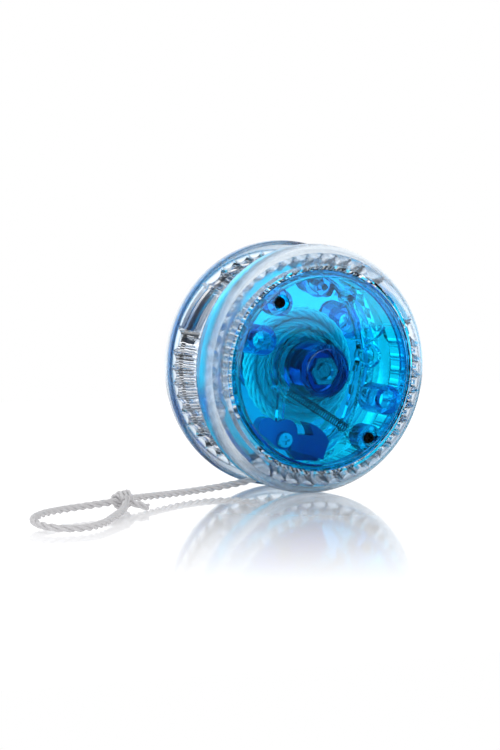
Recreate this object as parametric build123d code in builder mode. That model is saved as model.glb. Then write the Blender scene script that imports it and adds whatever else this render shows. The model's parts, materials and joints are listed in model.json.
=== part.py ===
from build123d import *
from math import cos, pi, radians, sin, tan
import os

# Clutch yo yo, in millimetres. The axle lies along Y, the clutch half faces -Y, +Z is up and the
# origin is the middle of the string gap. "Depth" is the distance from the middle of the gap.

os.makedirs("parts", exist_ok=True)

# ---- driving dimensions -------------------------------------------------------------------------
RIM_RADIUS = 28.5
RIM_BAND = (6.8, 8.9)              # depths between which the rim has its full radius
RIM_ROUNDING = (26.9, 12.1)        # a place on the rim's rounded face: radius, depth
FIT = 0.05                         # gap between neighbouring pieces of one half
SCREW_FIT = 0.02                   # the same round a screw, nut or pin
ROOT = 0.5                         # how far a post or boss runs into what it stands on

# body: a fluted cup
WEB_HOLE_RADIUS = 9.3
WEB_DEPTH = 2.4                    # the web's gap face beside the hole
WEB_EDGE = (22.2, 4.1)             # where the web rounds into the wall: radius, depth
WALL_LOW = (23.3, 4.9)             # the fluted wall's ridge at its gap end: radius, depth
WALL_HIGH = (26.2, 11.1)           # the same at its rim end
LIP_RADIUS = 23.8
LIP_DEPTH = 14.0
CHAMBER_RADIUS = 21.7
CHAMBER_FLOOR = 6.0
SEAT_DEPTH = 10.3                  # the ledge that the cap's skirt stands on
TUBE_PIN_END = 10.5                # pins that enter the cap's tubes
FLUTE_DEPTH = 1.1
FLUTES_PER_SIDE = 16
WINDOW_ANGLE = 26.0                # smooth window, and the wide flute at each end of it
WIDE_FLUTE_ANGLE = 13.2
WIDE_FLUTE_DEPTH = 1.7
WINDOW_DEPTH = 0.9
WINDOW_CENTRES = (38.0, 218.0)
LAND = 0.94                        # share of its pitch that each flute takes, which leaves a thin ridge
REAR_TURN = 5.0                    # the rear half sits this much further round

# cap
CAP_RADIUS = 22.92
CAP_EDGE_DEPTH = 13.85
CAP_SHOULDER = (21.3, 14.95)       # where the rounded edge meets the dome: radius, depth
CAP_DOME = (12.0, 15.87)           # a place on the dome
CAP_CENTRE_DEPTH = 16.3
CAP_THICKNESS = 1.4
SKIRT_INNER_RADIUS = 21.6
BOSS_TOP = 14.3                    # tubes and bosses run this far up, into the dome
TUBE_PLACES = ((-15.56, 7.32), (16.6, -7.22))    # two hollow locating tubes (X, Z)
TUBE_RADIUS = 3.45
TUBE_HOLE_RADIUS = 2.2
SCREW_PLACES = ((-11.1, 15.75), (12.0, -15.75))  # two cap screws (X, Z)
SCREW_BOSS_RADIUS = 3.1
SCREW_BOSS_END = 9.85
SCREW_POST_RADIUS = 2.2
SCREW_SEAT = 13.4
SCREW_HEAD_RADIUS = 1.45
SCREW_HEAD_HEIGHT = 1.1
SCREW_SHANK_RADIUS = 0.8
SCREW_TIP = 7.0

# axle, nuts and hub
AXLE_RADIUS = 1.75
AXLE_HALF_LENGTH = 14.5
AXLE_CHAMFER = 0.35
NUT_FLATS = 6.0
NUT_DEPTHS = (12.0, 14.8)
NUT_BORE_CHAMFER = 0.45
HUB_TOP = 15.2
HUB_TOP_RADIUS = 6.0
HUB_END_RADIUS = 6.6
HUB_END = 8.45
HUB_SKIRT_RADII = (5.1, 6.6)       # a ring under the hub that reaches into the brake drum
HUB_SKIRT_END = 7.3
PLUG_RADIUS = 5.2
PLUG_DEPTHS = (15.05, 16.3)

# spindle
SPOOL_RADIUS = 4.2
DRUM_RADIUS = 8.9
DRUM_END = 8.0
DRUM_WALL = 1.0
DRUM_HOLLOW = 2.8                  # how deep the drum is hollowed
BUSH_RADIUS = 2.7
WASHER_THICKNESS = 0.35

# clutch arms, as places (X, Z) looking along +Y
LEFT_PIVOT = (-8.6, -15.55)
RIGHT_PIVOT = (8.9, 16.0)
LEFT_HOOK = (-7.9, -4.2)           # the spring's two pegs
RIGHT_HOOK = (8.15, -14.0)
ARM_DEPTHS = (7.0, 11.2)
LEVER_DEPTHS = (8.3, 9.5)
SHOE_DEPTHS = (6.4, 9.5)
SHOE_GAP = 0.06                    # the shoes rest this close to the drum
PEG_RADIUS = 0.35
PEG_END = 11.9
SPRING_RADIUS = 1.05
SPRING_WIRE = 0.26
SPRING_PITCH = 0.62
SPRING_DEPTH = 11.0

LEFT_POST_RADIUS = 1.5
LEFT_POST_END = 11.4
LEFT_SCREW_TIP = 7.6
LEFT_SCREW_HEAD_RADIUS = 1.9
PIN_RADIUS = 0.8
PIN_DEPTHS = (5.0, 10.0)
ARM_HOLE_FIT = 0.06
LEFT_EYE_RADIUS = 2.3
BEAN_DEPTH = 8.2                   # the bean is thinner than the block
LEFT_LOBE = (-12.6, -12.6)
LEFT_LOBE_RADIUS = 2.2
MIDDLE_LOBE = (-7.8, -13.8)
MIDDLE_LOBE_RADIUS = 2.8
BEAN = ((-13.2, -14.6), (-11.4, -10.9), (-10.1, -11.6), (-9.2, -11.5), (-5.2, -15.0), (-7.8, -18.1),
        (-10.6, -16.9))
BLOCK = ((-7.0, -14.3), (-0.9, -14.9), (3.1, -16.4), (1.6, -20.5), (-6.6, -18.1))
BLOCK_STEP = ((-6.6, -17.9), (1.6, -20.4), (1.3, -21.0), (-4.4, -20.6))
BLOCK_STEP_END = 9.0
BLOCK_CORE = ((-4.6, -15.7), (-0.9, -15.9), (1.8, -17.0), (0.8, -19.2), (-4.6, -17.6))
BLOCK_CORE_END = 10.2
FIN_OUTSIDE = ((-2.4, -11.9), (1.5, -14.1), (3.1, -16.4))
FIN_INSIDE = ((-0.9, -14.9), (-1.3, -13.6), (-2.4, -11.9))
LEVER = ((-9.4, -13.4), (-7.9, -13.4), (-7.1, -3.6), (-8.7, -3.2))
LEFT_SHOE_ANGLES = (203.0, 222.0)
SHOE_OUTER_RADIUS = 10.2
WEIGHT_RADIUS = 1.5
WEIGHT_END = 10.7
RIGHT_DEPTHS = (7.0, 9.4)
RIGHT_LINE = ((11.6, 10.6), (12.6, 6.4), (12.9, 2.7), (11.5, -2.2), (10.9, -6.6), (9.8, -10.4))
RIGHT_ARM_HALF_WIDTH = 0.75
RIGHT_BOSS = (14.4, 2.6)
RIGHT_BOSS_RADIUS = 2.8
RIGHT_BOSS_WALL = 0.7
RIGHT_EYE_RADIUS = 1.7
RIGHT_SHOE_ANGLES = (-21.0, -4.0)
RIGHT_SHOE_RADIUS = 11.4
HOOK_OUTSIDE = ((10.0, 6.7), (14.0, 5.7), (18.4, 9.0))
HOOK_INSIDE = ((17.9, 9.4), (14.6, 7.1), (10.0, 6.7))
HOOK_WEB = ((14.1, 6.4), (14.0, 8.5), (15.2, 9.8), (18.0, 9.1), (16.5, 7.4))
HOOK_WEB_END = 8.2

# string
STRING_RADIUS = 0.75
WINDING_RADIUS = 14.0
WINDING_HALF_WIDTH = 2.1
TAIL_ROUTE = [
    (11.1, 0.0, -7.8), (5.6, 0.0, -16.2), (-1.4, 0.1, -22.6), (-10.0, -0.3, -26.0),
    (-20.2, -2.2, -27.0), (-30.6, -6.6, -27.15), (-40.2, -12.0, -26.8), (-49.2, -17.9, -26.3),
]
LOOP_ROUTE = [
    (-55.4, -22.5, -26.2), (-62.6, -24.6, -26.5), (-70.6, -28.2, -26.5), (-78.2, -34.2, -26.4),
    (-83.6, -42.2, -26.6), (-82.2, -50.4, -27.2), (-74.8, -51.6, -27.4), (-68.4, -46.4, -27.3),
    (-62.8, -39.0, -27.0), (-57.2, -31.8, -26.7), (-53.0, -23.4, -26.4),
]
END_ROUTE = [(-51.2, -21.4, -26.6), (-48.8, -25.6, -27.3)]
KNOT_CENTRE = Vector(-52.3, -20.2, -26.25)
KNOT_HALF_LENGTH = 4.0
KNOT_RADIUS = 2.2


def polar(radius, angle):
    """The place (X, Z) at a radius and an angle from +X towards +Z."""
    return (radius * cos(radians(angle)), radius * sin(radians(angle)))


def face_plane(depth):
    """The plane across the axle at a depth in the clutch half, facing outwards."""
    return Plane(origin=(0, -depth, 0), x_dir=(1, 0, 0), z_dir=(0, -1, 0))


def section(*points):
    """Profile points (radius, depth) as sketch points of the clutch half."""
    return [(radius, -depth) for radius, depth in points]


def save(part, name):
    part.label = name
    export_step(part, f"parts/{name}.step")


def save_both(part, name):
    """Writes a piece of the clutch half, and the same piece turned round for the rear half."""
    save(part, f"front_{name}")
    save(part.rotate(Axis.Z, 180).rotate(Axis.Y, -REAR_TURN), f"rear_{name}")


def flute_cutter(angle, half_angle, depth):
    """A leaning cylinder that scoops one flute out of the wall."""
    half_chord = WALL_HIGH[0] * sin(radians(half_angle))
    radius = (half_chord**2 + depth**2) / (2 * depth)
    low_chord = WALL_LOW[0] * sin(radians(half_angle))
    low_bite = radius - (radius**2 - low_chord**2) ** 0.5
    top = (WALL_HIGH[0] - depth + radius, WALL_HIGH[1])
    low = (WALL_LOW[0] - low_bite + radius, WALL_LOW[1])
    slope = (top[0] - low[0]) / (top[1] - low[1])
    start_depth = WALL_LOW[1] - 4.0
    start_radius = low[0] - 4.0 * slope
    x, z = polar(start_radius, angle)
    outward = polar(1.0, angle)
    axis = Vector(outward[0] * slope, -1, outward[1] * slope)
    length = (WALL_HIGH[1] + 2.0 - start_depth) * axis.length
    return Plane(origin=(x, -start_depth, z), z_dir=axis), radius, length


def body():
    with BuildPart() as cup:
        with BuildSketch(Plane.XY):
            with BuildLine():
                Polyline(
                    section(
                        WALL_LOW,
                        WALL_HIGH,
                        (LIP_RADIUS, WALL_HIGH[1]),
                        (LIP_RADIUS, LIP_DEPTH),
                        (CAP_RADIUS + FIT, LIP_DEPTH),
                        (CAP_RADIUS + FIT, SEAT_DEPTH),
                        (CHAMBER_RADIUS, SEAT_DEPTH),
                        (CHAMBER_RADIUS, CHAMBER_FLOOR),
                        (WEB_HOLE_RADIUS, CHAMBER_FLOOR),
                        (WEB_HOLE_RADIUS, WEB_DEPTH),
                        WEB_EDGE,
                    )
                )
                RadiusArc((WEB_EDGE[0], -WEB_EDGE[1]), (WALL_LOW[0], -WALL_LOW[1]), 1.2)
            make_face()
        revolve(axis=Axis.Y)
        flute_angle = (180.0 - WINDOW_ANGLE - 2 * WIDE_FLUTE_ANGLE) / FLUTES_PER_SIDE
        for window in WINDOW_CENTRES:
            edge = window + WINDOW_ANGLE / 2
            cutters = [(edge + WIDE_FLUTE_ANGLE / 2, WIDE_FLUTE_ANGLE / 2, WIDE_FLUTE_DEPTH)]
            first = edge + WIDE_FLUTE_ANGLE + flute_angle / 2
            for count in range(FLUTES_PER_SIDE):
                cutters.append((first + count * flute_angle, flute_angle / 2, FLUTE_DEPTH))
            cutters.append((window + 180 - WINDOW_ANGLE / 2 - WIDE_FLUTE_ANGLE / 2,
                            WIDE_FLUTE_ANGLE / 2, WIDE_FLUTE_DEPTH))
            for angle, half_angle, depth in cutters:
                place, radius, length = flute_cutter(angle, half_angle * LAND, depth)
                with BuildSketch(place):
                    Circle(radius)
                extrude(amount=length, mode=Mode.SUBTRACT)
            window_arc = WINDOW_ANGLE * LAND
            start = polar(1.0, window + window_arc / 2)
            side = Plane(origin=(0, 0, 0), x_dir=(start[0], 0, start[1]), z_dir=(start[1], 0, -start[0]))
            with BuildSketch(side):
                low = (WALL_LOW[0] - WINDOW_DEPTH, WALL_LOW[1])
                high = (WALL_HIGH[0] - WINDOW_DEPTH, WALL_HIGH[1])
                with BuildLine():
                    Polyline(
                        (low[0] - 1.0, 2.0), low, high, (28.0, high[1]), (28.0, 2.0),
                        close=True,
                    )
                make_face()
            revolve(axis=Axis.Y, revolution_arc=window_arc, mode=Mode.SUBTRACT)
        # posts that the cap's tubes and screw bosses stand on, and the two pivots
        with BuildSketch(face_plane(CHAMBER_FLOOR - ROOT)):
            with Locations(*TUBE_PLACES):
                Circle(TUBE_HOLE_RADIUS - FIT)
        extrude(amount=TUBE_PIN_END - CHAMBER_FLOOR + ROOT)
        with BuildSketch(face_plane(CHAMBER_FLOOR - ROOT)):
            with Locations(*SCREW_PLACES):
                Circle(SCREW_POST_RADIUS)
        extrude(amount=SCREW_BOSS_END - FIT - CHAMBER_FLOOR + ROOT)
        with BuildSketch(face_plane(SCREW_TIP - 0.3)):
            with Locations(*SCREW_PLACES):
                Circle(SCREW_SHANK_RADIUS + SCREW_FIT)
        extrude(amount=SCREW_BOSS_END - SCREW_TIP + 0.3, mode=Mode.SUBTRACT)
        with BuildSketch(face_plane(CHAMBER_FLOOR - ROOT)):
            with Locations(LEFT_PIVOT):
                Circle(LEFT_POST_RADIUS)
        extrude(amount=LEFT_POST_END - CHAMBER_FLOOR + ROOT)
        with BuildSketch(face_plane(LEFT_SCREW_TIP - 0.3)):
            with Locations(LEFT_PIVOT):
                Circle(SCREW_SHANK_RADIUS + SCREW_FIT)
        extrude(amount=LEFT_POST_END - LEFT_SCREW_TIP + 0.3, mode=Mode.SUBTRACT)
        with BuildSketch(face_plane(PIN_DEPTHS[0] - 0.2)):
            with Locations(RIGHT_PIVOT):
                Circle(PIN_RADIUS + SCREW_FIT)
        extrude(amount=CHAMBER_FLOOR - PIN_DEPTHS[0] + 0.2, mode=Mode.SUBTRACT)
    return cup.part


def rim():
    with BuildPart() as ring:
        with BuildSketch(Plane.XY):
            with BuildLine():
                ThreePointArc(
                    (LIP_RADIUS + FIT, -CAP_EDGE_DEPTH),
                    (RIM_ROUNDING[0], -RIM_ROUNDING[1]),
                    (RIM_RADIUS, -RIM_BAND[1]),
                )
                Polyline(
                    section(
                        (RIM_RADIUS, RIM_BAND[1]),
                        (RIM_RADIUS, RIM_BAND[0]),
                        (RIM_RADIUS - 0.7, RIM_BAND[0]),
                        (WALL_HIGH[0] + FIT, WALL_HIGH[1] + FIT),
                        (LIP_RADIUS + FIT, WALL_HIGH[1] + FIT),
                        (LIP_RADIUS + FIT, CAP_EDGE_DEPTH),
                    )
                )
            make_face()
        revolve(axis=Axis.Y)
        lip = ring.edges().filter_by(GeomType.CIRCLE).filter_by(
            lambda edge: abs(edge.arc_center.Y + RIM_BAND[0]) < 0.01 and edge.radius > 27
        )
        fillet(lip, 0.3)
    return ring.part


def cap():
    with BuildPart() as cover:
        with BuildSketch(Plane.XY):
            with BuildLine():
                RadiusArc((CAP_RADIUS, -CAP_EDGE_DEPTH), (CAP_SHOULDER[0], -CAP_SHOULDER[1]), -1.6)
                ThreePointArc(
                    (CAP_SHOULDER[0], -CAP_SHOULDER[1]),
                    (CAP_DOME[0], -CAP_DOME[1]),
                    (0, -CAP_CENTRE_DEPTH),
                )
                Line((0, -CAP_CENTRE_DEPTH), (0, -CAP_CENTRE_DEPTH + CAP_THICKNESS))
                ThreePointArc(
                    (0, -CAP_CENTRE_DEPTH + CAP_THICKNESS),
                    (CAP_DOME[0], -CAP_DOME[1] + CAP_THICKNESS),
                    (SKIRT_INNER_RADIUS, -CAP_SHOULDER[1] + CAP_THICKNESS),
                )
                Polyline(
                    section(
                        (SKIRT_INNER_RADIUS, CAP_SHOULDER[1] - CAP_THICKNESS),
                        (SKIRT_INNER_RADIUS, SEAT_DEPTH + FIT),
                        (CAP_RADIUS, SEAT_DEPTH + FIT),
                        (CAP_RADIUS, CAP_EDGE_DEPTH),
                    )
                )
            make_face()
        revolve(axis=Axis.Y)
        with BuildSketch(face_plane(CHAMBER_FLOOR + FIT)):
            with Locations(*TUBE_PLACES):
                Circle(TUBE_RADIUS)
                Circle(TUBE_HOLE_RADIUS, mode=Mode.SUBTRACT)
        extrude(amount=BOSS_TOP - CHAMBER_FLOOR - FIT)
        with BuildSketch(face_plane(SCREW_BOSS_END)):
            with Locations(*SCREW_PLACES):
                Circle(SCREW_BOSS_RADIUS)
            Circle(SKIRT_INNER_RADIUS, mode=Mode.INTERSECT)
        extrude(amount=BOSS_TOP - SCREW_BOSS_END)
        with BuildSketch(face_plane(SCREW_BOSS_END)):
            with Locations(*SCREW_PLACES):
                Circle(SCREW_SHANK_RADIUS + 0.15)
        extrude(amount=SCREW_SEAT - SCREW_BOSS_END, mode=Mode.SUBTRACT)
        with BuildSketch(face_plane(SCREW_SEAT)):
            with Locations(*SCREW_PLACES):
                Circle(SCREW_HEAD_RADIUS + 0.4)
        extrude(amount=CAP_CENTRE_DEPTH - SCREW_SEAT, mode=Mode.SUBTRACT)
        # central hub: nut pocket from outside, axle hole from inside, skirt round the washer
        with BuildSketch(Plane.XY):
            with BuildLine():
                Polyline(
                    section(
                        (0, HUB_END),
                        (HUB_SKIRT_RADII[0], HUB_END),
                        (HUB_SKIRT_RADII[0], HUB_SKIRT_END),
                        (HUB_SKIRT_RADII[1], HUB_SKIRT_END),
                        (HUB_END_RADIUS, HUB_END),
                        (HUB_TOP_RADIUS, HUB_TOP),
                        (0, HUB_TOP),
                    ),
                    close=True,
                )
            make_face()
        revolve(axis=Axis.Y)
        with BuildSketch(face_plane(PLUG_DEPTHS[0])):
            Circle(PLUG_RADIUS)
        extrude(amount=CAP_CENTRE_DEPTH - PLUG_DEPTHS[0] + 1, mode=Mode.SUBTRACT)
        with BuildSketch(face_plane(NUT_DEPTHS[0])):
            RegularPolygon(NUT_FLATS / 2 + FIT, 6, major_radius=False)
        extrude(amount=PLUG_DEPTHS[0] - NUT_DEPTHS[0], mode=Mode.SUBTRACT)
        with BuildSketch(face_plane(HUB_END - 1)):
            Circle(AXLE_RADIUS + FIT)
        extrude(amount=NUT_DEPTHS[0] - HUB_END + 1, mode=Mode.SUBTRACT)
    return cover.part


def hub_plug():
    with BuildPart() as plug:
        with BuildSketch(face_plane(PLUG_DEPTHS[0] + FIT)):
            Circle(PLUG_RADIUS - FIT)
        extrude(amount=PLUG_DEPTHS[1] - PLUG_DEPTHS[0] - FIT)
        chamfer(plug.faces().sort_by(Axis.Y)[0].edges(), 0.2)
    return plug.part


def cross_head_screw(place, seat, tip, head_radius, head_height):
    """A pan-head cross-recess screw at a place (X, Z), its head's underside at the seat depth."""
    with BuildPart() as screw:
        with BuildSketch(face_plane(tip)):
            with Locations(place):
                Circle(SCREW_SHANK_RADIUS)
        extrude(amount=seat - tip)
        with BuildSketch(face_plane(seat)):
            with Locations(place):
                Circle(head_radius)
        extrude(amount=head_height, taper=12)
        with BuildSketch(face_plane(seat + head_height)):
            with Locations(place):
                Rectangle(head_radius * 1.1, head_radius * 0.3)
                Rectangle(head_radius * 0.3, head_radius * 1.1)
        extrude(amount=-head_height * 0.6, mode=Mode.SUBTRACT)
    return screw.part


def cap_screws():
    pair = [
        cross_head_screw(place, SCREW_SEAT + SCREW_FIT, SCREW_TIP, SCREW_HEAD_RADIUS, SCREW_HEAD_HEIGHT)
        for place in SCREW_PLACES
    ]
    with BuildPart() as screws:
        add(pair)
    return screws.part


def axle_nut():
    with BuildPart() as nut:
        with BuildSketch(face_plane(NUT_DEPTHS[0] + SCREW_FIT)):
            RegularPolygon(NUT_FLATS / 2, 6, major_radius=False)
            Circle(AXLE_RADIUS + SCREW_FIT, mode=Mode.SUBTRACT)
        extrude(amount=NUT_DEPTHS[1] - NUT_DEPTHS[0] - SCREW_FIT)
        mouths = nut.edges().filter_by(GeomType.CIRCLE)
        chamfer(mouths, NUT_BORE_CHAMFER)
    return nut.part


def axle():
    with BuildPart() as rod:
        with BuildSketch(face_plane(-AXLE_HALF_LENGTH)):
            Circle(AXLE_RADIUS)
        extrude(amount=2 * AXLE_HALF_LENGTH)
        chamfer(rod.edges().filter_by(GeomType.CIRCLE), AXLE_CHAMFER)
    return rod.part


def thrust_washers():
    with BuildPart() as washers:
        for start in (DRUM_END + FIT, -DRUM_END - FIT - WASHER_THICKNESS):
            with BuildSketch(face_plane(start)):
                Circle(SPOOL_RADIUS)
                Circle(AXLE_RADIUS + FIT, mode=Mode.SUBTRACT)
            extrude(amount=WASHER_THICKNESS)
    return washers.part


def spindle():
    """The string spool with a hollow brake drum at each end."""
    hollow_end = -DRUM_END + DRUM_HOLLOW
    drum_inner = DRUM_RADIUS - DRUM_WALL
    drum_start = -WEB_DEPTH - 0.1
    with BuildPart() as spool:
        with BuildSketch(Plane.XY):
            with BuildLine():
                Polyline(
                    (BUSH_RADIUS + SCREW_FIT, -DRUM_END),
                    (SPOOL_RADIUS, -DRUM_END),
                    (SPOOL_RADIUS + 0.4, hollow_end),
                    (drum_inner - 0.2, hollow_end),
                    (drum_inner, -DRUM_END),
                    (DRUM_RADIUS, -DRUM_END),
                    (DRUM_RADIUS, drum_start),
                    (SPOOL_RADIUS, drum_start),
                    (SPOOL_RADIUS, 0),
                    (BUSH_RADIUS + SCREW_FIT, 0),
                    close=True,
                )
            make_face()
            mirror(about=Plane.XZ)
        revolve(axis=Axis.Y)
    return spool.part


def spindle_bush():
    with BuildPart() as bush:
        with BuildSketch(face_plane(-DRUM_END)):
            Circle(BUSH_RADIUS)
            Circle(AXLE_RADIUS + 0.04, mode=Mode.SUBTRACT)
        extrude(amount=2 * DRUM_END)
    return bush.part


def left_arm():
    """Dark arm: bean-shaped plate over the pivot, cored block and fin. A groove behind takes the lever."""
    with BuildPart() as arm:
        with BuildSketch(face_plane(BEAN_DEPTH)):
            with Locations(LEFT_PIVOT):
                Circle(LEFT_EYE_RADIUS)
            with Locations(LEFT_LOBE):
                Circle(LEFT_LOBE_RADIUS)
            with Locations(MIDDLE_LOBE):
                Circle(MIDDLE_LOBE_RADIUS)
            with BuildLine():
                Polyline(*BEAN, close=True)
            make_face()
        extrude(amount=ARM_DEPTHS[1] - BEAN_DEPTH)
        with BuildSketch(face_plane(ARM_DEPTHS[0])):
            with BuildLine():
                Polyline(*BLOCK, close=True)
            make_face()
            with BuildLine():
                ThreePointArc(*FIN_OUTSIDE)
                Line(FIN_OUTSIDE[2], FIN_INSIDE[0])
                ThreePointArc(*FIN_INSIDE)
            make_face()
        extrude(amount=ARM_DEPTHS[1] - ARM_DEPTHS[0])
        with BuildSketch(face_plane(ARM_DEPTHS[0])):
            with BuildLine():
                Polyline(*BLOCK_STEP, close=True)
            make_face()
        extrude(amount=BLOCK_STEP_END - ARM_DEPTHS[0])
        with BuildSketch(face_plane(ARM_DEPTHS[0])):
            with BuildLine():
                Polyline(*BLOCK_CORE, close=True)
            make_face()
        extrude(amount=BLOCK_CORE_END - ARM_DEPTHS[0], mode=Mode.SUBTRACT)
        with BuildSketch(face_plane(ARM_DEPTHS[0])):
            with BuildLine():
                Polyline(*LEVER, close=True)
                offset(amount=FIT, kind=Kind.INTERSECTION)
            make_face()
        extrude(amount=LEVER_DEPTHS[1] + FIT - ARM_DEPTHS[0], mode=Mode.SUBTRACT)
        with BuildSketch(face_plane(BEAN_DEPTH)):
            with Locations(LEFT_LOBE):
                Circle(WEIGHT_RADIUS)
        extrude(amount=WEIGHT_END - BEAN_DEPTH, mode=Mode.SUBTRACT)
        with BuildSketch(face_plane(ARM_DEPTHS[0])):
            with Locations(LEFT_PIVOT):
                Circle(LEFT_POST_RADIUS + ARM_HOLE_FIT)
        extrude(amount=ARM_DEPTHS[1] - ARM_DEPTHS[0], mode=Mode.SUBTRACT)
    return arm.part


def left_arm_lever():
    """Clear lever that lies in the dark arm's groove, with the brake shoe and the spring's peg."""
    with BuildPart() as lever:
        with BuildSketch(face_plane(LEVER_DEPTHS[0])):
            with BuildLine():
                Polyline(*LEVER, close=True)
            make_face()
        extrude(amount=LEVER_DEPTHS[1] - LEVER_DEPTHS[0])
        with BuildSketch(face_plane(SHOE_DEPTHS[0])):
            with BuildLine():
                Polyline((0, 0), *(polar(SHOE_OUTER_RADIUS + 1.5, angle) for angle in LEFT_SHOE_ANGLES), close=True)
            make_face()
            Circle(DRUM_RADIUS + SHOE_GAP, mode=Mode.SUBTRACT)
            Circle(SHOE_OUTER_RADIUS, mode=Mode.INTERSECT)
        extrude(amount=SHOE_DEPTHS[1] - SHOE_DEPTHS[0])
        with BuildSketch(face_plane(LEVER_DEPTHS[0] + FIT)):
            with Locations(LEFT_HOOK):
                Circle(PEG_RADIUS)
        extrude(amount=PEG_END - LEVER_DEPTHS[0] - FIT)
    return lever.part


def left_arm_weight():
    with BuildPart() as weight:
        with BuildSketch(face_plane(BEAN_DEPTH)):
            with Locations(LEFT_LOBE):
                Circle(WEIGHT_RADIUS - SCREW_FIT)
        extrude(amount=WEIGHT_END - BEAN_DEPTH - FIT)
    return weight.part


def left_arm_screw():
    return cross_head_screw(
        LEFT_PIVOT, LEFT_POST_END + SCREW_FIT, LEFT_SCREW_TIP, LEFT_SCREW_HEAD_RADIUS, SCREW_HEAD_HEIGHT
    )


def right_arm():
    """Clear arm: pivot eye, hook fin, round boss, brake shoe and the spring's peg."""
    with BuildPart() as arm:
        with BuildSketch(face_plane(RIGHT_DEPTHS[0])):
            with BuildLine():
                Polyline(RIGHT_PIVOT, *RIGHT_LINE, RIGHT_HOOK)
                offset(amount=RIGHT_ARM_HALF_WIDTH, kind=Kind.ARC)
            make_face()
            with Locations(RIGHT_PIVOT):
                Circle(RIGHT_EYE_RADIUS)
            with Locations(RIGHT_BOSS):
                Circle(RIGHT_BOSS_RADIUS)
            with BuildLine():
                ThreePointArc(*HOOK_OUTSIDE)
                Line(HOOK_OUTSIDE[2], HOOK_INSIDE[0])
                ThreePointArc(*HOOK_INSIDE)
            make_face()
            with Locations(RIGHT_PIVOT):
                Circle(PIN_RADIUS + ARM_HOLE_FIT, mode=Mode.SUBTRACT)
            with Locations(RIGHT_BOSS):
                Circle(RIGHT_BOSS_RADIUS - RIGHT_BOSS_WALL, mode=Mode.SUBTRACT)
        extrude(amount=RIGHT_DEPTHS[1] - RIGHT_DEPTHS[0])
        with BuildSketch(face_plane(RIGHT_DEPTHS[0])):
            with BuildLine():
                Polyline(*HOOK_WEB, close=True)
            make_face()
        extrude(amount=HOOK_WEB_END - RIGHT_DEPTHS[0])
        with BuildSketch(face_plane(SHOE_DEPTHS[0])):
            with BuildLine():
                Polyline((0, 0), *(polar(RIGHT_SHOE_RADIUS + 2.6, angle) for angle in RIGHT_SHOE_ANGLES), close=True)
            make_face()
            Circle(DRUM_RADIUS + SHOE_GAP, mode=Mode.SUBTRACT)
            Circle(RIGHT_SHOE_RADIUS, mode=Mode.INTERSECT)
        extrude(amount=RIGHT_DEPTHS[1] - SHOE_DEPTHS[0])
        with BuildSketch(face_plane(RIGHT_DEPTHS[0] + FIT)):
            with Locations(RIGHT_HOOK):
                Circle(PEG_RADIUS)
        extrude(amount=PEG_END - RIGHT_DEPTHS[0] - FIT)
    return arm.part


def right_arm_pin():
    with BuildPart() as pin:
        with BuildSketch(face_plane(PIN_DEPTHS[0])):
            with Locations(RIGHT_PIVOT):
                Circle(PIN_RADIUS)
        extrude(amount=PIN_DEPTHS[1] - PIN_DEPTHS[0])
    return pin.part


def clutch_spring():
    """Close coil between the two pegs."""
    left = Vector(LEFT_HOOK[0], -SPRING_DEPTH, LEFT_HOOK[1])
    right = Vector(RIGHT_HOOK[0], -SPRING_DEPTH, RIGHT_HOOK[1])
    along = (right - left).normalized()
    reach = PEG_RADIUS + SPRING_WIRE + 2 * FIT
    start = left + along * reach
    length = (right - left).length - 2 * reach
    coil_radius = SPRING_RADIUS - SPRING_WIRE / 2
    with BuildPart() as spring:
        with BuildLine() as turns:
            Helix(SPRING_PITCH, length, coil_radius, center=start, direction=along)
        with BuildSketch(Plane(origin=turns.line @ 0, z_dir=turns.line % 0)):
            Circle(SPRING_WIRE / 2)
        sweep(path=turns.line, is_frenet=True)
    return spring.part


def string_winding():
    with BuildPart() as winding:
        with BuildSketch(Plane.XY):
            with Locations(((SPOOL_RADIUS + 0.05 + WINDING_RADIUS) / 2, 0)):
                RectangleRounded(WINDING_RADIUS - SPOOL_RADIUS - 0.05, 2 * WINDING_HALF_WIDTH, 0.6)
        revolve(axis=Axis.Y)
    return winding.part


def tube(route, name):
    """A string tube: straight runs joined by arcs as large as the runs allow."""
    points = [Vector(*point) for point in route]
    runs = [after - before for before, after in zip(points, points[1:])]
    radii = []
    for before, after in zip(runs, runs[1:]):
        turn = before.get_angle(after)
        radii.append(0.45 * min(before.length, after.length) / tan(radians(turn / 2)))
    print(name, "radii", [round(radius, 1) for radius in radii], "runs", [round(run.length, 1) for run in runs])
    with BuildPart() as cord:
        with BuildLine() as path:
            if radii:
                FilletPolyline(*points, radius=radii)
            else:
                Line(*points)
        centre_line = path.wire()
        with BuildSketch(Plane(origin=centre_line @ 0, z_dir=centre_line % 0)):
            Circle(STRING_RADIUS)
        sweep(path=centre_line)
    expected = pi * STRING_RADIUS**2 * centre_line.length
    print(name, "length", round(centre_line.length, 1), "volume ratio", round(cord.part.volume / expected, 4))
    return cord.part


def string_knot():
    """A rounded lump that the tail, both ends of the loop and the cut end run into."""
    along = (Vector(*LOOP_ROUTE[0]) - Vector(*TAIL_ROUTE[-1])).normalized()
    level = Plane(origin=KNOT_CENTRE, x_dir=along, z_dir=(0, 0, 1))
    with BuildPart() as knot:
        with BuildSketch(level):
            with BuildLine():
                EllipticalCenterArc((0, 0), KNOT_HALF_LENGTH, KNOT_RADIUS, 0, arc_size=180)
                Line((-KNOT_HALF_LENGTH, 0), (KNOT_HALF_LENGTH, 0))
            make_face()
        revolve(axis=Axis(level.origin, level.x_dir))
    return knot.part


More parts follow.
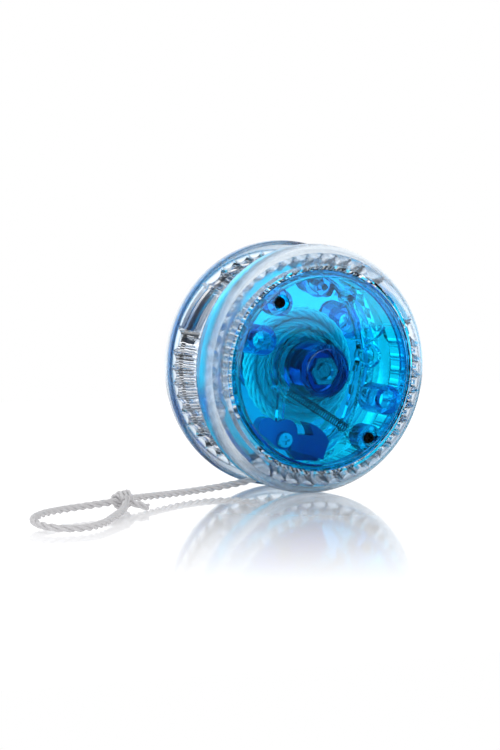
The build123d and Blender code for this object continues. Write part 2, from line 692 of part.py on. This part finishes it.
save_both(body(), "body")
save_both(rim(), "rim")
save_both(cap(), "cap")
save_both(hub_plug(), "hub_plug")
save_both(cap_screws(), "cap_screws")
save_both(axle_nut(), "axle_nut")
save(axle(), "axle")
save(thrust_washers(), "thrust_washers")
save(spindle(), "spindle")
save(spindle_bush(), "spindle_bush")
save(left_arm(), "left_clutch_arm")
save(left_arm_lever(), "left_arm_lever")
save(left_arm_weight(), "left_arm_weight")
save(left_arm_screw(), "left_arm_screw")
save(right_arm(), "right_clutch_arm")
save(right_arm_pin(), "right_arm_pin")
save(clutch_spring(), "clutch_spring")
save(string_winding(), "string_winding")
save(tube(TAIL_ROUTE, "tail"), "string_tail")
save(tube(LOOP_ROUTE, "loop"), "string_loop")
save(tube(END_ROUTE, "end"), "string_end")
save(string_knot(), "string_knot")
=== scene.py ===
import json
import math

import bpy
import numpy as np
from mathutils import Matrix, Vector


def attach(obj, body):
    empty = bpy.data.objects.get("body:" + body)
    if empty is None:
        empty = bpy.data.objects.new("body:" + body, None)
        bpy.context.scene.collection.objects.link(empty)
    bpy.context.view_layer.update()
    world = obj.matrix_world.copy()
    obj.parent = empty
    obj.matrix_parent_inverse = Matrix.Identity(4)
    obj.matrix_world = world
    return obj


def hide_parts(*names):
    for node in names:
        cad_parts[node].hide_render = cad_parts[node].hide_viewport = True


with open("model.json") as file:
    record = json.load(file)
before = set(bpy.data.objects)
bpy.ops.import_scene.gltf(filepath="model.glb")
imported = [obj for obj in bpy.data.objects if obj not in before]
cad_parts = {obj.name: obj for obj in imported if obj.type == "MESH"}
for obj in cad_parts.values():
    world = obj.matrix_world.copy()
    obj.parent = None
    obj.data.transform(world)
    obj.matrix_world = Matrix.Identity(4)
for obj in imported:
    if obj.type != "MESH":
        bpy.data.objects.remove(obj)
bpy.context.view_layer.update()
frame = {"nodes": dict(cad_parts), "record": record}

MM = 0.001
ROPE_RADIUS = 0.84 * MM             # over the crowns of the three strands
FLOOR_HEIGHT = -28.5 * MM

# The free string's route, as in the part: from the winding to the knot, and round the finger loop
TAIL_ROUTE = [
    (11.1, 0.0, -7.8), (5.6, 0.0, -16.2), (-1.4, 0.1, -22.6), (-10.0, -0.3, -26.0),
    (-20.2, -2.2, -27.0), (-30.6, -6.6, -27.15), (-40.2, -12.0, -26.8), (-49.2, -17.9, -26.3),
]
LOOP_ROUTE = [
    (-55.4, -22.5, -26.2), (-62.6, -24.6, -26.5), (-70.6, -28.2, -26.5), (-78.2, -34.2, -26.4),
    (-83.6, -42.2, -26.6), (-82.2, -50.4, -27.2), (-74.8, -51.6, -27.4), (-68.4, -46.4, -27.3),
    (-62.8, -39.0, -27.0), (-57.2, -31.8, -26.7), (-53.0, -23.4, -26.4),
]
END_ROUTE = [(-51.2, -21.4, -26.6), (-49.9, -23.5, -27.0), (-48.8, -25.6, -27.3)]
KNOT_CENTRE = (-52.3, -20.2, -26.25)

# The wound string: turns that climb from the spool to the outside of the winding
WOUND_TURNS = 17.5
POINTS_PER_TURN = 14
WOUND_RADII = (5.3, 13.2)
WOUND_SWING = 1.25
TURNS_PER_LAYER = 2.6

# The rope: three strands, each drawn with a few sides
STRAND_COUNT = 3
STRAND_SHARE = 0.48                # a strand's radius as a share of the rope's
ROPE_LAY = 7.5 * MM                # length in which a strand goes once round
STRAND_SIDES = 8
RING_SPACING = 0.45 * MM

# The knot: wraps round the meeting of tail and loop, in millimetres
KNOT_WRAPS = 2.6
KNOT_START = -0.1                  # turns
KNOT_POINTS = 41
KNOT_RADIUS = 1.32
KNOT_SWELL = 0.12
KNOT_LENGTH = 4.6
KNOT_LIFT = 0.05

# Studio brightness
BACKDROP = 1.2
OVERHEAD = 1.3
LEFT_WALL = (0.3, 0.48, 0.78)
ROOM_BEHIND_CAMERA = 0.03
MATT_LIGHT = (0.8, 6.0)            # on matt pieces: in the open, and behind six or more plastic faces
FLOOR_MIRROR = 0.75                # share of mirror in the floor close to the toy
FLOOR_FADE = (30 * MM, 168 * MM)   # distances over which that mirror fades out
FLOOR_WHITE = (0.95, 0.95, 0.955)


def metres(points):
    return [Vector(point) * MM for point in points]


# ---- camera -------------------------------------------------------------------------------------
def make_camera():
    data = bpy.data.cameras.new("camera")
    data.sensor_width = 36.0
    data.lens = 163.6
    data.clip_start = 0.01
    camera = bpy.data.objects.new("camera", data)
    bpy.context.scene.collection.objects.link(camera)
    camera.location = Vector((-359.2, -695.1, 68.3)) * MM
    camera.rotation_euler = [math.radians(angle) for angle in (84.847, -0.526, -26.537)]
    bpy.context.scene.camera = camera


# ---- string -------------------------------------------------------------------------------------
def wound_points():
    """The string's turns on the spool, ending where the tail leaves them."""
    first = Vector(TAIL_ROUTE[0])
    last_angle = math.atan2(first.z, first.x)
    points = []
    count = int(WOUND_TURNS * POINTS_PER_TURN)
    for index in range(count):
        turn = index / POINTS_PER_TURN
        share = turn / WOUND_TURNS
        radius = WOUND_RADII[0] + (WOUND_RADII[1] - WOUND_RADII[0]) * share
        swing = (turn / TURNS_PER_LAYER) % 2.0
        across = WOUND_SWING * (1 - 2 * abs(1 - swing))
        angle = last_angle + 2 * math.pi * (WOUND_TURNS - turn)
        points.append((radius * math.cos(angle), across, radius * math.sin(angle)))
    return points


def spline_points(name, points, resolution):
    """Points along a smooth NURBS spline through a route, read from the curve itself."""
    curve = bpy.data.curves.new(name, "CURVE")
    curve.dimensions = "3D"
    curve.resolution_u = resolution
    spline = curve.splines.new("NURBS")
    spline.points.add(len(points) - 1)
    for control, point in zip(spline.points, points):
        control.co = (*point, 1.0)
    spline.order_u = 3
    spline.use_endpoint_u = True
    holder = bpy.data.objects.new(name, curve)
    bpy.context.scene.collection.objects.link(holder)
    mesh = bpy.data.meshes.new_from_object(holder)
    path = [vertex.co.copy() for vertex in mesh.vertices]
    bpy.data.objects.remove(holder)
    bpy.data.meshes.remove(mesh)
    return path


def even_points(path, spacing):
    """The same line with evenly spaced points."""
    line = np.array([tuple(point) for point in path])
    steps = np.linalg.norm(np.diff(line, axis=0), axis=1)
    along = np.concatenate([[0], np.cumsum(steps)])
    wanted = np.linspace(0, along[-1], max(int(along[-1] / spacing), 2) + 1)
    return np.stack([np.interp(wanted, along, line[:, axis]) for axis in range(3)], axis=1), wanted


def rope_mesh(name, path):
    """Three twisted strands that follow a line, with a UV map along and round each strand."""
    line, along = even_points(path, RING_SPACING)
    tangents = np.gradient(line, axis=0)
    tangents /= np.linalg.norm(tangents, axis=1)[:, None]
    side = np.cross(tangents[0], (0.0, 0.0, 1.0))
    if np.linalg.norm(side) < 0.1:
        side = np.cross(tangents[0], (1.0, 0.0, 0.0))
    sides_along = []
    for tangent in tangents:
        side = side - tangent * np.dot(side, tangent)
        side = side / np.linalg.norm(side)
        sides_along.append(side)
    first = np.array(sides_along)
    second = np.cross(tangents, first)
    strand_radius = ROPE_RADIUS * STRAND_SHARE
    offset = ROPE_RADIUS - strand_radius
    vertices, faces, uvs = [], [], []
    for strand in range(STRAND_COUNT):
        base = len(vertices)
        turn = 2 * np.pi * (along / ROPE_LAY + strand / STRAND_COUNT)
        centre = line + offset * (np.cos(turn)[:, None] * first + np.sin(turn)[:, None] * second)
        for ring, place in enumerate(centre):
            outward = math.cos(turn[ring]) * first[ring] + math.sin(turn[ring]) * second[ring]
            beside = np.cross(tangents[ring], outward)
            for corner in range(STRAND_SIDES):
                angle = 2 * math.pi * corner / STRAND_SIDES
                reach = strand_radius * (math.cos(angle) * outward + math.sin(angle) * beside)
                vertices.append(tuple(place + reach))
        rings = len(centre)
        for ring in range(rings - 1):
            for corner in range(STRAND_SIDES):
                following = (corner + 1) % STRAND_SIDES
                low = base + ring * STRAND_SIDES
                high = low + STRAND_SIDES
                faces.append((low + corner, low + following, high + following, high + corner))
                uvs.append([(along[ring], corner), (along[ring], corner + 1),
                            (along[ring + 1], corner + 1), (along[ring + 1], corner)])
        faces.append(tuple(base + corner for corner in reversed(range(STRAND_SIDES))))
        uvs.append([(0.0, 0.0)] * STRAND_SIDES)
        faces.append(tuple(base + (rings - 1) * STRAND_SIDES + corner for corner in range(STRAND_SIDES)))
        uvs.append([(along[-1], 0.0)] * STRAND_SIDES)
    mesh = bpy.data.meshes.new(name)
    mesh.from_pydata(vertices, [], faces)
    layer = mesh.uv_layers.new(name="strand")
    index = 0
    for corners in uvs:
        for along_value, corner in corners:
            layer.data[index].uv = (along_value / MM, corner / STRAND_SIDES)
            index += 1
    for polygon in mesh.polygons:
        polygon.use_smooth = True
    mesh.update()
    piece = bpy.data.objects.new(name, mesh)
    bpy.context.scene.collection.objects.link(piece)
    return piece


def make_string():
    route = metres(wound_points() + TAIL_ROUTE + LOOP_ROUTE)
    path = spline_points("string_route", route, 6)
    string = rope_mesh("string", path)
    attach(string, "spool")
    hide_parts("string_winding", "string_tail", "string_loop")

    along = (Vector(LOOP_ROUTE[0]) - Vector(TAIL_ROUTE[-1])).normalized()
    level = along.cross(Vector((0, 0, 1))).normalized()
    upright = level.cross(along)
    wraps = []
    for index in range(KNOT_POINTS):
        share = index / (KNOT_POINTS - 1)
        angle = 2 * math.pi * (KNOT_WRAPS * share + KNOT_START)
        radius = KNOT_RADIUS + KNOT_SWELL * math.sin(5 * angle)
        place = Vector(KNOT_CENTRE) + along * (KNOT_LENGTH * (share - 0.5))
        place += level * (radius * math.cos(angle)) + upright * (radius * math.sin(angle) + KNOT_LIFT)
        wraps.append(place)
    knot = rope_mesh("knot", spline_points("knot_route", metres(wraps), 6))
    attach(knot, "spool")
    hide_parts("string_knot")
    stub = rope_mesh("cut_end", spline_points("end_route", metres(END_ROUTE), 8))
    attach(stub, "spool")
    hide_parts("string_end")
    return [string, knot, stub]


make_camera()
string_pieces = make_string()


# ---- materials ----------------------------------------------------------------------------------
def new_material(name):
    material = bpy.data.materials.new(name)
    material.use_nodes = True
    nodes = material.node_tree.nodes
    links = material.node_tree.links
    shader = nodes["Principled BSDF"]
    return material, nodes, links, shader


def ramp(nodes, links, source, low, high, start=0.3, end=0.7):
    mapping = nodes.new("ShaderNodeMapRange")
    mapping.inputs["From Min"].default_value = start
    mapping.inputs["From Max"].default_value = end
    mapping.inputs["To Min"].default_value = low
    mapping.inputs["To Max"].default_value = high
    links.new(source, mapping.inputs["Value"])
    return mapping.outputs["Result"]


def colour_mix(nodes, links, factor, first, second):
    mix = nodes.new("ShaderNodeMix")
    mix.data_type = "RGBA"
    mix.inputs["A"].default_value = (*first, 1)
    mix.inputs["B"].default_value = (*second, 1)
    links.new(factor, mix.inputs["Factor"])
    return mix.outputs["Result"]


def surface_group():
    """Mould flow or grinding waves that bend the surface, and fine marks that dull it in patches."""
    group = bpy.data.node_groups.new("surface marks", "ShaderNodeTree")
    for label in ("Flow Scale", "Flow Depth", "Mark Scale", "Roughness Low", "Roughness High"):
        group.interface.new_socket(name=label, in_out="INPUT", socket_type="NodeSocketFloat")
    group.interface.new_socket(name="Roughness", in_out="OUTPUT", socket_type="NodeSocketFloat")
    group.interface.new_socket(name="Normal", in_out="OUTPUT", socket_type="NodeSocketVector")
    group.interface.new_socket(name="Mark", in_out="OUTPUT", socket_type="NodeSocketFloat")
    nodes = group.nodes
    links = group.links
    given = nodes.new("NodeGroupInput")
    result = nodes.new("NodeGroupOutput")
    place = nodes.new("ShaderNodeTexCoord")
    flow = nodes.new("ShaderNodeTexNoise")
    flow.inputs["Detail"].default_value = 2.0
    links.new(place.outputs["Object"], flow.inputs["Vector"])
    links.new(given.outputs["Flow Scale"], flow.inputs["Scale"])
    marks = nodes.new("ShaderNodeTexNoise")
    marks.inputs["Detail"].default_value = 4.0
    links.new(place.outputs["Object"], marks.inputs["Vector"])
    links.new(given.outputs["Mark Scale"], marks.inputs["Scale"])
    waves = nodes.new("ShaderNodeBump")
    links.new(flow.outputs["Fac"], waves.inputs["Height"])
    links.new(given.outputs["Flow Depth"], waves.inputs["Distance"])
    dull = nodes.new("ShaderNodeMapRange")
    dull.inputs["From Min"].default_value = 0.3
    dull.inputs["From Max"].default_value = 0.7
    links.new(marks.outputs["Fac"], dull.inputs["Value"])
    links.new(given.outputs["Roughness Low"], dull.inputs["To Min"])
    links.new(given.outputs["Roughness High"], dull.inputs["To Max"])
    links.new(dull.outputs["Result"], result.inputs["Roughness"])
    links.new(waves.outputs["Normal"], result.inputs["Normal"])
    links.new(marks.outputs["Fac"], result.inputs["Mark"])
    return group


def surface(nodes, links, shader, flow_scale, flow_depth, mark_scale, roughness):
    """Puts the shared surface marks on a material. Roughness runs from its clean to its marked places."""
    marks = nodes.new("ShaderNodeGroup")
    marks.node_tree = SURFACE
    marks.inputs["Flow Scale"].default_value = flow_scale
    marks.inputs["Flow Depth"].default_value = flow_depth
    marks.inputs["Mark Scale"].default_value = mark_scale
    marks.inputs["Roughness Low"].default_value = roughness[0]
    marks.inputs["Roughness High"].default_value = roughness[1]
    links.new(marks.outputs["Roughness"], shader.inputs["Roughness"])
    links.new(marks.outputs["Normal"], shader.inputs["Normal"])
    return marks.outputs["Mark"]


def clear_plastic(name, tint, roughness, flow_depth, absorb=None):
    """See-through plastic. What absorbs is the depth of plastic that the light passes."""
    material, nodes, links, shader = new_material(name)
    mark = surface(nodes, links, shader, 260.0, flow_depth, 900.0, roughness)
    worn = tuple(0.97 * value for value in tint)
    links.new(colour_mix(nodes, links, mark, tint, worn), shader.inputs["Base Color"])
    shader.inputs["Transmission Weight"].default_value = 1.0
    shader.inputs["IOR"].default_value = 1.52
    if absorb:
        volume = nodes.new("ShaderNodeVolumeAbsorption")
        volume.inputs["Color"].default_value = (*absorb, 1)
        volume.inputs["Density"].default_value = 2500.0
        links.new(volume.outputs["Volume"], nodes["Material Output"].inputs["Volume"])
    return material


def metal(name, bright, dull, roughness):
    material, nodes, links, shader = new_material(name)
    shader.inputs["Metallic"].default_value = 1.0
    mark = surface(nodes, links, shader, 1800.0, 0.000003, 2500.0, roughness)
    links.new(colour_mix(nodes, links, mark, bright, dull), shader.inputs["Base Color"])
    return material


def dark_plastic():
    """Dark blue moulding with painted light: lighter in its thin bean, as if light shone through it, and
    darker where the block is thicker.
    """
    material, nodes, links, shader = new_material("dark blue plastic")
    surface(nodes, links, shader, 500.0, 0.00001, 900.0, (0.1, 0.25))
    place = nodes.new("ShaderNodeTexCoord")
    axes = nodes.new("ShaderNodeSeparateXYZ")
    links.new(place.outputs["Object"], axes.inputs["Vector"])
    # painted light and shade: the colour runs from lighter in the thin bean, as if lit through, to darker
    # in the thicker block
    thick_painted_shade = ramp(nodes, links, axes.outputs["X"], 0.0, 1.0, -12 * MM, -4 * MM)
    shade = colour_mix(nodes, links, thick_painted_shade, (0.0, 0.13, 0.36), (0.006, 0.03, 0.2))
    links.new(shade, shader.inputs["Base Color"])
    return material


def nylon():
    material, nodes, links, shader = new_material("white nylon")
    mark = surface(nodes, links, shader, 700.0, 0.00001, 900.0, (0.3, 0.45))
    shade = colour_mix(nodes, links, mark, (0.9, 0.9, 0.88), (0.78, 0.79, 0.78))
    links.new(shade, shader.inputs["Base Color"])
    return material


def cotton():
    material, nodes, links, shader = new_material("twisted string")
    place = nodes.new("ShaderNodeTexCoord")
    mapping = nodes.new("ShaderNodeMapping")
    mapping.inputs["Scale"].default_value = (2.0, 7.0, 1.0)
    links.new(place.outputs["UV"], mapping.inputs["Vector"])
    fibres = nodes.new("ShaderNodeTexNoise")
    fibres.inputs["Scale"].default_value = 3.0
    fibres.inputs["Detail"].default_value = 6.0
    links.new(mapping.outputs["Vector"], fibres.inputs["Vector"])
    factor = ramp(nodes, links, fibres.outputs["Fac"], 0.0, 1.0)
    shade = colour_mix(nodes, links, factor, (0.62, 0.61, 0.63), (0.9, 0.89, 0.9))
    links.new(shade, shader.inputs["Base Color"])
    fuzz = nodes.new("ShaderNodeBump")
    fuzz.inputs["Distance"].default_value = 0.0002
    links.new(fibres.outputs["Fac"], fuzz.inputs["Height"])
    links.new(fuzz.outputs["Normal"], shader.inputs["Normal"])
    shader.inputs["Roughness"].default_value = 0.85
    shader.inputs["Sheen Weight"].default_value = 0.3
    return material


def wear(piece, material):
    piece.data.materials.clear()
    piece.data.materials.append(material)


SURFACE = surface_group()
clear = clear_plastic("clear plastic", (0.95, 0.97, 1.0), (0.01, 0.025), 0.00002)
satin = clear_plastic("satin plastic", (0.72, 0.8, 0.87), (0.16, 0.2), 0.0)
blue = clear_plastic("blue plastic", (0.006, 0.7, 0.92), (0.01, 0.025), 0.00002, (0.65, 0.95, 0.982))
FINISHES = {
    "clear_plastic": clear,
    "satin_plastic": satin,
    "blue_plastic": blue,
    "dark_blue_plastic": dark_plastic(),
    "black_steel": metal("black steel", (0.03, 0.03, 0.035), (0.05, 0.05, 0.05), (0.12, 0.25)),
    "steel": metal("plain steel", (0.75, 0.76, 0.78), (0.6, 0.61, 0.63), (0.15, 0.3)),
    "white_nylon": nylon(),
    "cotton": cotton(),
}
DARK_STEEL = metal("dark steel", (0.12, 0.13, 0.17), (0.07, 0.08, 0.1), (0.1, 0.2))
POLISHED_STEEL = metal("polished steel", (0.6, 0.62, 0.66), (0.5, 0.52, 0.56), (0.04, 0.1))
for entry in frame["record"]["subparts"]:
    wear(frame["nodes"][entry["node"]], FINISHES[entry["material_slot"]])
wear(frame["nodes"]["clutch_spring"], DARK_STEEL)
wear(frame["nodes"]["left_arm_screw"], POLISHED_STEEL)
for piece in string_pieces:
    wear(piece, FINISHES["cotton"])


# ---- studio -------------------------------------------------------------------------------------
def make_floor():
    """A pale glossy floor whose mirror fades out in front of the toy."""
    bpy.ops.object.select_all(action="DESELECT")
    bpy.ops.mesh.primitive_plane_add(size=0.42, location=(0, 0, FLOOR_HEIGHT))
    floor = bpy.context.object
    floor.name = "floor"
    material, nodes, links, shader = new_material("floor")
    surface(nodes, links, shader, 3.0, 0.0, 3.0, (0.04, 0.07))
    shader.inputs["Base Color"].default_value = (*FLOOR_WHITE, 1)
    shader.inputs["Metallic"].default_value = 1.0
    matt = nodes.new("ShaderNodeBsdfDiffuse")
    matt.inputs["Color"].default_value = (0.6, 0.6, 0.61, 1)
    lit = nodes.new("ShaderNodeEmission")
    lit.inputs["Strength"].default_value = 0.6
    plain = nodes.new("ShaderNodeAddShader")
    links.new(matt.outputs["BSDF"], plain.inputs[0])
    links.new(lit.outputs["Emission"], plain.inputs[1])
    place = nodes.new("ShaderNodeTexCoord")
    away = nodes.new("ShaderNodeVectorMath")
    away.operation = "LENGTH"
    links.new(place.outputs["Object"], away.inputs[0])
    glossy = ramp(nodes, links, away.outputs["Value"], FLOOR_MIRROR, 0.0, *FLOOR_FADE)
    mix = nodes.new("ShaderNodeMixShader")
    links.new(glossy, mix.inputs["Fac"])
    links.new(plain.outputs["Shader"], mix.inputs[1])
    links.new(shader.outputs["BSDF"], mix.inputs[2])
    # the toy's own gloss hardly picks the floor up, so the cap stays clear
    rays = nodes.new("ShaderNodeLightPath")
    shade = nodes.new("ShaderNodeBsdfDiffuse")
    shade.inputs["Color"].default_value = (0.06, 0.07, 0.08, 1)
    direct = nodes.new("ShaderNodeMath")
    direct.operation = "MULTIPLY"
    unshielded = ramp(nodes, links, rays.outputs["Transmission Depth"], 1.0, 0.2, 0.0, 1.0)
    links.new(unshielded, direct.inputs[0])
    links.new(rays.outputs["Is Glossy Ray"], direct.inputs[1])
    seen = nodes.new("ShaderNodeMixShader")
    links.new(direct.outputs["Value"], seen.inputs["Fac"])
    links.new(mix.outputs["Shader"], seen.inputs[1])
    links.new(shade.outputs["BSDF"], seen.inputs[2])
    links.new(seen.outputs["Shader"], nodes["Material Output"].inputs["Surface"])
    wear(floor, material)


def make_world():
    """A bright backdrop behind and above, a steel-blue wall on the left, a dim room behind the camera."""
    world = bpy.data.worlds.new("studio")
    bpy.context.scene.world = world
    world.use_nodes = True
    nodes = world.node_tree.nodes
    links = world.node_tree.links
    background = nodes["Background"]
    place = nodes.new("ShaderNodeTexCoord")
    axes = nodes.new("ShaderNodeSeparateXYZ")
    links.new(place.outputs["Generated"], axes.inputs["Vector"])
    behind = ramp(nodes, links, axes.outputs["Y"], ROOM_BEHIND_CAMERA, BACKDROP, -0.25, 0.3)
    above = ramp(nodes, links, axes.outputs["Z"], 0.0, OVERHEAD, 0.55, 0.8)
    room = nodes.new("ShaderNodeMath")
    room.operation = "MAXIMUM"
    links.new(behind, room.inputs[0])
    links.new(above, room.inputs[1])
    left = ramp(nodes, links, axes.outputs["X"], 0.0, 1.0, -0.5, -0.8)
    wall = nodes.new("ShaderNodeMix")
    wall.data_type = "RGBA"
    wall.inputs["B"].default_value = (*LEFT_WALL, 1)
    links.new(left, wall.inputs["Factor"])
    links.new(room.outputs["Value"], wall.inputs["A"])
    rays = nodes.new("ShaderNodeLightPath")
    soft = nodes.new("ShaderNodeMix")
    soft.data_type = "RGBA"
    # light that has to pass the clear shells to reach a matt piece is given back what they take
    crossed = ramp(nodes, links, rays.outputs["Transmission Depth"], *MATT_LIGHT, 0.0, 6.0)
    links.new(crossed, soft.inputs["B"])
    links.new(rays.outputs["Diffuse Depth"], soft.inputs["Factor"])
    links.new(wall.outputs["Result"], soft.inputs["A"])
    # what the floor mirrors is bright on every side: those rays rise and have crossed no plastic
    rising = ramp(nodes, links, axes.outputs["Z"], 0.0, 1.0, 0.01, 0.06)
    clear_way = ramp(nodes, links, rays.outputs["Transmission Depth"], 1.0, 0.0, 0.0, 1.0)
    mirrored = nodes.new("ShaderNodeMath")
    mirrored.operation = "MULTIPLY"
    links.new(rising, mirrored.inputs[0])
    links.new(clear_way, mirrored.inputs[1])
    from_gloss = nodes.new("ShaderNodeMath")
    from_gloss.operation = "MULTIPLY"
    links.new(mirrored.outputs["Value"], from_gloss.inputs[0])
    links.new(rays.outputs["Is Glossy Ray"], from_gloss.inputs[1])
    lifted = nodes.new("ShaderNodeMix")
    lifted.data_type = "RGBA"
    lifted.inputs["B"].default_value = (BACKDROP, BACKDROP, BACKDROP, 1)
    links.new(from_gloss.outputs["Value"], lifted.inputs["Factor"])
    links.new(soft.outputs["Result"], lifted.inputs["A"])
    show = nodes.new("ShaderNodeMix")
    show.data_type = "RGBA"
    show.inputs["B"].default_value = (1, 1, 1, 1)
    links.new(rays.outputs["Is Camera Ray"], show.inputs["Factor"])
    links.new(lifted.outputs["Result"], show.inputs["A"])
    links.new(show.outputs["Result"], background.inputs["Color"])
    background.inputs["Strength"].default_value = 1.0


def area_light(name, place, target, size, power):
    data = bpy.data.lights.new(name, "AREA")
    data.shape = "RECTANGLE"
    data.size = size[0]
    data.size_y = size[1]
    data.energy = power
    light = bpy.data.objects.new(name, data)
    bpy.context.scene.collection.objects.link(light)
    light.location = place
    direction = Vector(target) - Vector(place)
    light.rotation_euler = direction.to_track_quat("-Z", "Y").to_euler()


make_floor()
make_world()
area_light("key", (-0.4, -0.3, 0.9), (0, 0, 0), (0.6, 0.6), 1.5)
scene = bpy.context.scene
scene.view_settings.view_transform = "Standard"
scene.cycles.max_bounces = 32
scene.cycles.transmission_bounces = 32
scene.cycles.glossy_bounces = 8
